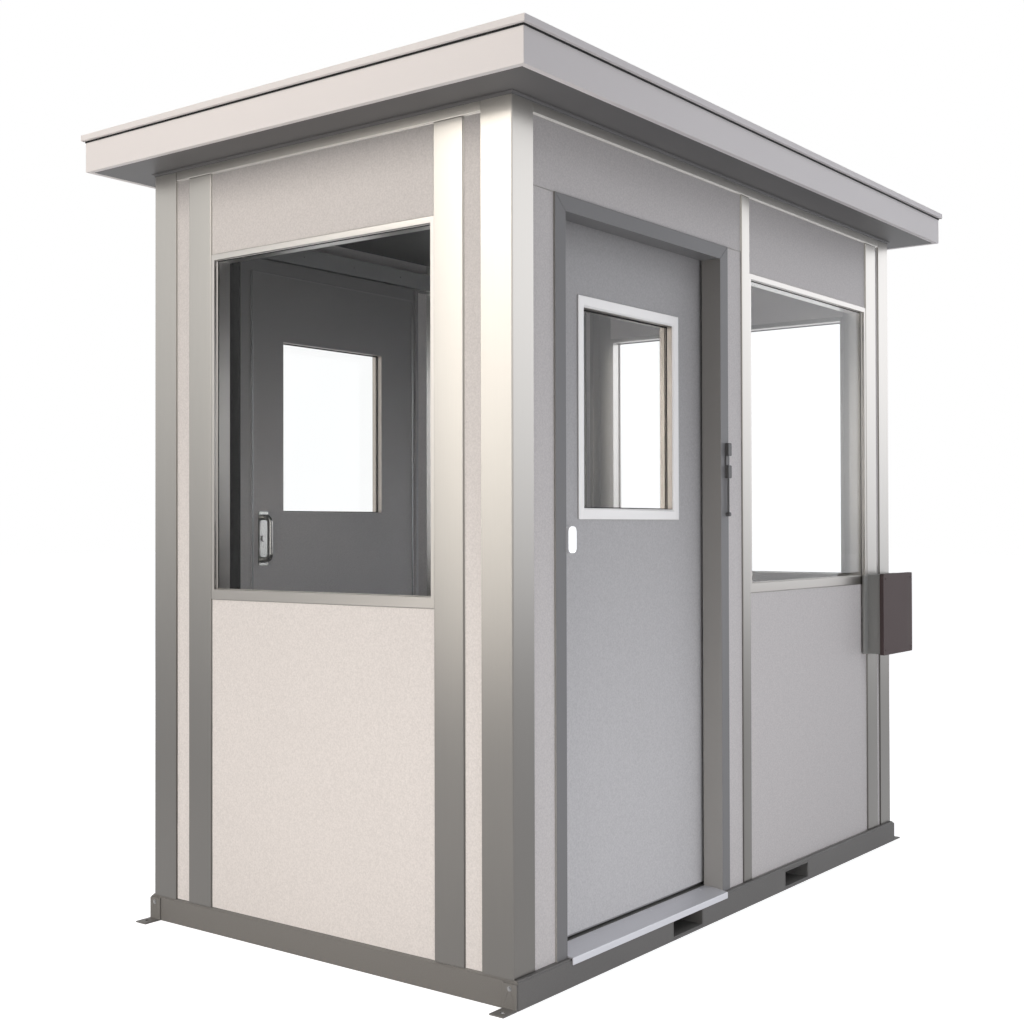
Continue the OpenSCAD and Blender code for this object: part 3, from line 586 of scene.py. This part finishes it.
# %% Piece and ring helpers
def solids_of(node_name):
    """Lowest and highest corner of each separate solid in a node."""
    work = bmesh.new()
    work.from_mesh(frame["nodes"][node_name].data)
    bmesh.ops.remove_doubles(work, verts=work.verts, dist=WELD_REACH)
    waiting, boxes = set(work.verts), []
    while waiting:
        reach = [waiting.pop()]
        found = []
        while reach:
            vert = reach.pop()
            found.append(vert.co.copy())
            for edge in vert.link_edges:
                other = edge.other_vert(vert)
                if other in waiting:
                    waiting.remove(other)
                    reach.append(other)
        low = Vector([min(co[axis] for co in found) for axis in range(3)])
        high = Vector([max(co[axis] for co in found) for axis in range(3)])
        boxes.append((low, high))
    work.free()
    return boxes


def finish_piece(name, work, body, slot):
    """Turns a bmesh into a piece that rides a body and takes the finish of a slot."""
    bmesh.ops.remove_doubles(work, verts=work.verts, dist=WELD_REACH)
    bmesh.ops.recalc_face_normals(work, faces=work.faces)
    mesh = bpy.data.meshes.new(name)
    work.to_mesh(mesh)
    work.free()
    mesh.materials.append(FINISH[slot])
    piece = bpy.data.objects.new(name, mesh)
    bpy.context.collection.objects.link(piece)
    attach(piece, body)
    return piece


def mitred_ring(work, low, high, across, profile):
    """Sweeps a closed profile round the rectangle low..high, which is flat along the axis `across`.

    A profile point is (inward from the rectangle's edge, place along the axis).
    """
    first, second = [axis for axis in range(3) if axis != across]
    loops = []
    for side_a, side_b in ((0, 0), (1, 0), (1, 1), (0, 1)):
        loop = []
        for inward, along in profile:
            point = [0, 0, 0]
            point[first] = (high[first] - inward) if side_a else (low[first] + inward)
            point[second] = (high[second] - inward) if side_b else (low[second] + inward)
            point[across] = along
            loop.append(work.verts.new(point))
        loops.append(loop)
    count = len(profile)
    for here, there in zip(loops, loops[1:] + loops[:1]):
        for step in range(count):
            after = (step + 1) % count
            work.faces.new((here[step], here[after], there[after], there[step]))


def box_of_faces(work, low, high):
    """Adds a closed block between two corners."""
    made = bmesh.ops.create_cube(work, size=1)["verts"]
    for vert in made:
        vert.co = Vector([low[i] + (vert.co[i] + 0.5) * (high[i] - low[i]) for i in range(3)])
    return made


# %% [markdown]
# ## Glazing gaskets
# Every pane sits in a thin gasket that shows as a line inside the bars. A door light's gasket is dark
# rubber all round. A window's gasket takes dark rubber at its head, painted shade under the head bar, and
# the bright bar metal along its sides and sill, a painted highlight, so a ring takes one finish at the
# head and may take another elsewhere. It is a small rounded lip on both faces of the glass, so two rings
# for each pane.

# %% Gaskets
GASKET_WIDTH = 3 * MM
GASKET_HEIGHT = 2 * MM
PANE_BITE = 7 * MM
PANES = {
    # Window gaskets take the bright bar metal, a painted highlight, except at the head.
    "booth": ("window_glass", PANE_BITE, "window_bar"),
    "near_door": ("near_door_lite_glass", 0, "rubber"),
    "far_door": ("far_door_lite_glass", 0, "rubber"),
}


def lip_profile(bite, start, rise):
    """A rounded lip that sits on the glass at `start`, stands off it by `rise` and starts past the bite."""
    return [(bite, start), (bite, start + rise), (bite + GASKET_WIDTH * 0.6, start + rise * 0.85),
            (bite + GASKET_WIDTH, start + rise * 0.3), (bite + GASKET_WIDTH, start)]


for body, (node_name, bite, slot) in PANES.items():
    work = bmesh.new()
    panes = solids_of(node_name)
    for low, high in panes:
        across = min(range(3), key=lambda axis: high[axis] - low[axis])
        mitred_ring(work, low, high, across, lip_profile(bite, low[across], -GASKET_HEIGHT))
        mitred_ring(work, low, high, across, lip_profile(bite, high[across], GASKET_HEIGHT))
    gasket = finish_piece(node_name + "_gasket", work, body, slot).data
    gasket.materials.append(FINISH["rubber"])
    # Faces above this height take the dark rubber: painted shade under the head bar.
    head = max(high.z for low, high in panes) - bite - 2 * GASKET_WIDTH
    for face in gasket.polygons:
        face.material_index = int(face.center.z > head)
    print(node_name, "gaskets on", len(panes), "panes")

# %% [markdown]
# ## Edge beads
# The picture shows thin light lines where a panel meets a post, a rail or a frame. They are the rounded
# lips of the extrusions. Drawing them as a texture would lose the highlight, so each is a small quarter
# round that fills the corner all round the panel's outer face.

# %% Beads round the wall panels
BEAD = 2 * MM
# The wall says which axis a panel faces along: the slim strips are narrower than the wall is thick.
PANEL_AXIS = {"front_wall_panels": 0, "rear_wall_panels": 0, "near_wall_panels": 1, "far_wall_panels": 1}


def quarter_round(face, outward, size, start=0.0):
    """A quarter round in the corner between a face and the wall round it."""
    steps = 3
    points = [(start, face)]
    for step in range(steps + 1):
        turn = math.pi / 2 * step / steps
        points.append((start + size * math.sin(turn), face + outward * size * math.cos(turn)))
    return points


def outer_face(low, high, across):
    """A wall piece's face away from the booth's middle along an axis, and the way that face points."""
    outward = 1 if low[across] + high[across] > 0 else -1
    return (high if outward > 0 else low)[across], outward


work = bmesh.new()
panels = [(across, solid) for node_name, across in PANEL_AXIS.items() for solid in solids_of(node_name)]
for across, (low, high) in panels:
    face, outward = outer_face(low, high, across)
    mitred_ring(work, low, high, across, quarter_round(face, outward, BEAD))
finish_piece("panel_beads", work, "booth", "post_aluminium")
print("beads round", len(panels), "panels")

# %% [markdown]
# A window frame ends in a bright lip beside the glass, on both faces. The same quarter round does it,
# started past the part of the pane that the bars hide. The door leaves carry a raised line in the groove
# on their inner face, which shows through the front window, and a sweep along the foot that halves the
# gap over the threshold without touching it.

# %% Lips round the panes and lines on the leaves
LIP = 3.5 * MM
LEAF_BORDER = 46 * MM
LINE_WIDTH = 4 * MM
LINE_RISE = 1.5 * MM
SWEEP_DROP = 4.5 * MM

work = bmesh.new()
for low, high in solids_of("window_glass"):
    across = min(range(3), key=lambda axis: high[axis] - low[axis])
    face, outward = outer_face(low, high, across)
    mitred_ring(work, low, high, across, quarter_round(face, outward, LIP, PANE_BITE - LIP / 2))
finish_piece("window_lips", work, "booth", "window_bar")
for side in ("near", "far"):
    low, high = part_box(side + "_door_leaf")
    inward = 1 if side == "near" else -1
    face = high.y if inward > 0 else low.y
    work = bmesh.new()
    raised = face + inward * LINE_RISE
    far_side = LEAF_BORDER + LINE_WIDTH
    mitred_ring(work, low, high, 1, [(LEAF_BORDER, face), (LEAF_BORDER, raised), (far_side, raised),
                                     (far_side, face)])
    finish_piece(side + "_door_lines", work, side + "_door", "track_steel")
    work = bmesh.new()
    box_of_faces(work, (low.x, low.y, low.z - SWEEP_DROP), (high.x, high.y, low.z))
    finish_piece(side + "_door_sweep", work, side + "_door", "track_steel")
print("lips, leaf lines and sweeps made")

# %% [markdown]
# ## Shadow line under the roof cap
# A dark strip in the rubber finish runs under the lip of the cap, standing proud of the fascia: a painted
# shadow for the shade that the lip casts.

# %% Painted shadow line
SHADOW_LINE_DROP = 6 * MM
SHADOW_LINE_PROUD = 1.5 * MM
end_low, end_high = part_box("end_fascias")
side_low, side_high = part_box("side_fascias")
low = Vector([min(end_low[i], side_low[i]) for i in range(3)])
high = Vector([max(end_high[i], side_high[i]) for i in range(3)])
work = bmesh.new()
mitred_ring(work, low, high, 2, [(0, high.z), (-SHADOW_LINE_PROUD, high.z), (-SHADOW_LINE_PROUD, high.z - SHADOW_LINE_DROP),
                                 (0, high.z - SHADOW_LINE_DROP)])
finish_piece("cap_painted_shadow_line", work, "booth", "rubber")
print("painted shadow line under the cap")

# %% [markdown]
# ## Screws
# Screw heads repeat, so a Geometry Nodes tree makes them. Each point of a small mesh carries the way its
# screw faces; the tree puts a washer and a head on every point, turns it and realises the result. Hex
# heads hold the anchor clips, round heads the thresholds, the box cover and the tracks.

# %% Screw tree
# Shape of a screw, as shares of its head's radius and height.
HEAD_TAPER = 0.8
WASHER_REACH = 1.35
WASHER_DEPTH = 0.6
WASHER_SIDES = 16


def screw_tree():
    tree = bpy.data.node_groups.new("screw_rows", "GeometryNodeTree")
    for label, kind in (("Points", "NodeSocketGeometry"), ("Head Radius", "NodeSocketFloat"),
                        ("Head Height", "NodeSocketFloat"), ("Sides", "NodeSocketInt"),
                        ("Finish", "NodeSocketMaterial")):
        tree.interface.new_socket(label, in_out="INPUT", socket_type=kind)
    tree.interface.new_socket("Screws", in_out="OUTPUT", socket_type="NodeSocketGeometry")
    given, result = add_node(tree, "NodeGroupInput"), add_node(tree, "NodeGroupOutput")

    def scaled(socket, factor):
        node = add_node(tree, "ShaderNodeMath", operation="MULTIPLY")
        tree.links.new(socket, node.inputs[0])
        node.inputs[1].default_value = factor
        return node.outputs[0]

    radius, height = given.outputs["Head Radius"], given.outputs["Head Height"]
    head = add_node(tree, "GeometryNodeMeshCone")
    tree.links.new(given.outputs["Sides"], head.inputs["Vertices"])
    tree.links.new(radius, head.inputs["Radius Bottom"])
    tree.links.new(scaled(radius, HEAD_TAPER), head.inputs["Radius Top"])
    tree.links.new(height, head.inputs["Depth"])
    washer = add_node(tree, "GeometryNodeMeshCylinder")
    washer.inputs["Vertices"].default_value = WASHER_SIDES
    tree.links.new(scaled(radius, WASHER_REACH), washer.inputs["Radius"])
    tree.links.new(scaled(height, WASHER_DEPTH), washer.inputs["Depth"])
    screw = add_node(tree, "GeometryNodeJoinGeometry")
    tree.links.new(head.outputs["Mesh"], screw.inputs["Geometry"])
    tree.links.new(washer.outputs["Mesh"], screw.inputs["Geometry"])
    facing = add_node(tree, "GeometryNodeInputNamedAttribute", data_type="FLOAT_VECTOR")
    facing.inputs["Name"].default_value = "facing"
    turn = add_node(tree, "FunctionNodeAlignRotationToVector", axis="Z")
    tree.links.new(facing.outputs["Attribute"], turn.inputs["Vector"])
    rows = add_node(tree, "GeometryNodeInstanceOnPoints")
    tree.links.new(given.outputs["Points"], rows.inputs["Points"])
    tree.links.new(screw.outputs["Geometry"], rows.inputs["Instance"])
    tree.links.new(turn.outputs["Rotation"], rows.inputs["Rotation"])
    real = add_node(tree, "GeometryNodeRealizeInstances")
    tree.links.new(rows.outputs["Instances"], real.inputs["Geometry"])
    dressed = add_node(tree, "GeometryNodeSetMaterial")
    tree.links.new(real.outputs["Geometry"], dressed.inputs["Geometry"])
    tree.links.new(given.outputs["Finish"], dressed.inputs["Material"])
    tree.links.new(dressed.outputs["Geometry"], result.inputs["Screws"])
    return tree


SCREW_TREE = screw_tree()


def screws(name, body, slot, spots, radius, height, sides):
    """One mesh of screws on a body; a spot is a place and the way the head faces."""
    mesh = bpy.data.meshes.new(name + "_spots")
    mesh.from_pydata([tuple(place) for place, facing in spots], [], [])
    facing = mesh.attributes.new("facing", "FLOAT_VECTOR", "POINT")
    facing.data.foreach_set("vector", [part for place, way in spots for part in way])
    holder = bpy.data.objects.new(name + "_spots", mesh)
    bpy.context.collection.objects.link(holder)
    rows = holder.modifiers.new("screws", "NODES")
    rows.node_group = SCREW_TREE
    values = {"Head Radius": radius, "Head Height": height, "Sides": sides, "Finish": FINISH[slot]}
    for socket in SCREW_TREE.interface.items_tree:
        if socket.in_out == "INPUT" and socket.name in values:
            rows[socket.identifier] = values[socket.name]
    seen = holder.evaluated_get(bpy.context.evaluated_depsgraph_get())
    made = bpy.data.meshes.new_from_object(seen)
    bpy.data.objects.remove(holder)
    made.name = name
    piece = bpy.data.objects.new(name, made)
    bpy.context.collection.objects.link(piece)
    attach(piece, body)
    return piece


# %% Screw rows
# Place of a clip screw across and up, and the thickness of the clip leg under its head.
CLIP_SCREW = (0.75, 0.06)
CLIP_LEG = 5 * MM
SCREW_INSET = 20 * MM
THRESHOLD_SCREWS = 6
TRACK_SCREWS = 7

rail_low, rail_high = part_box("base_end_rails")
clip_spots = [(((rail_high.x + CLIP_LEG) * end, CLIP_SCREW[0] * side, CLIP_SCREW[1]), (end, 0, 0))
              for end in (-1, 1) for side in (-1, 1)]
screws("clip_screws", "booth", "track_steel", clip_spots, 5.5 * MM, 3.5 * MM, 6)


def along(low, high, count, inset):
    return [low + inset + (high - low - 2 * inset) * step / (count - 1) for step in range(count)]


step_spots = []
for low, high in solids_of("door_thresholds"):
    inner = high.y if high.y < 0 else low.y
    toward = 1 if inner > 0 else -1
    step_spots += [((x, inner + toward * SCREW_INSET, high.z), (0, 0, 1))
                   for x in along(low.x, high.x, THRESHOLD_SCREWS, 3 * SCREW_INSET)]
screws("threshold_screws", "booth", "bright_metal", step_spots, 3.5 * MM, 1.2 * MM, 12)

cover_low, cover_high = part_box("breaker_box_cover")
cover_spots = [((x, cover_low.y, z), (0, -1, 0)) for x in along(cover_low.x, cover_high.x, 2, SCREW_INSET)
               for z in along(cover_low.z, cover_high.z, 2, SCREW_INSET)]
screws("cover_screws", "booth", "box_brown", cover_spots, 3.5 * MM, 1.5 * MM, 12)

track_spots = []
for low, high in solids_of("door_tracks"):
    inner = high.y if high.y < 0 else low.y
    toward = 1 if inner < 0 else -1
    middle = (low.z + high.z) / 2
    track_spots += [((x, inner, middle), (0, toward, 0))
                    for x in along(low.x, high.x, TRACK_SCREWS, 3 * SCREW_INSET)]
screws("track_screws", "booth", "track_steel", track_spots, 4 * MM, 2 * MM, 12)
print("screws:", len(clip_spots) + len(step_spots) + len(cover_spots) + len(track_spots))
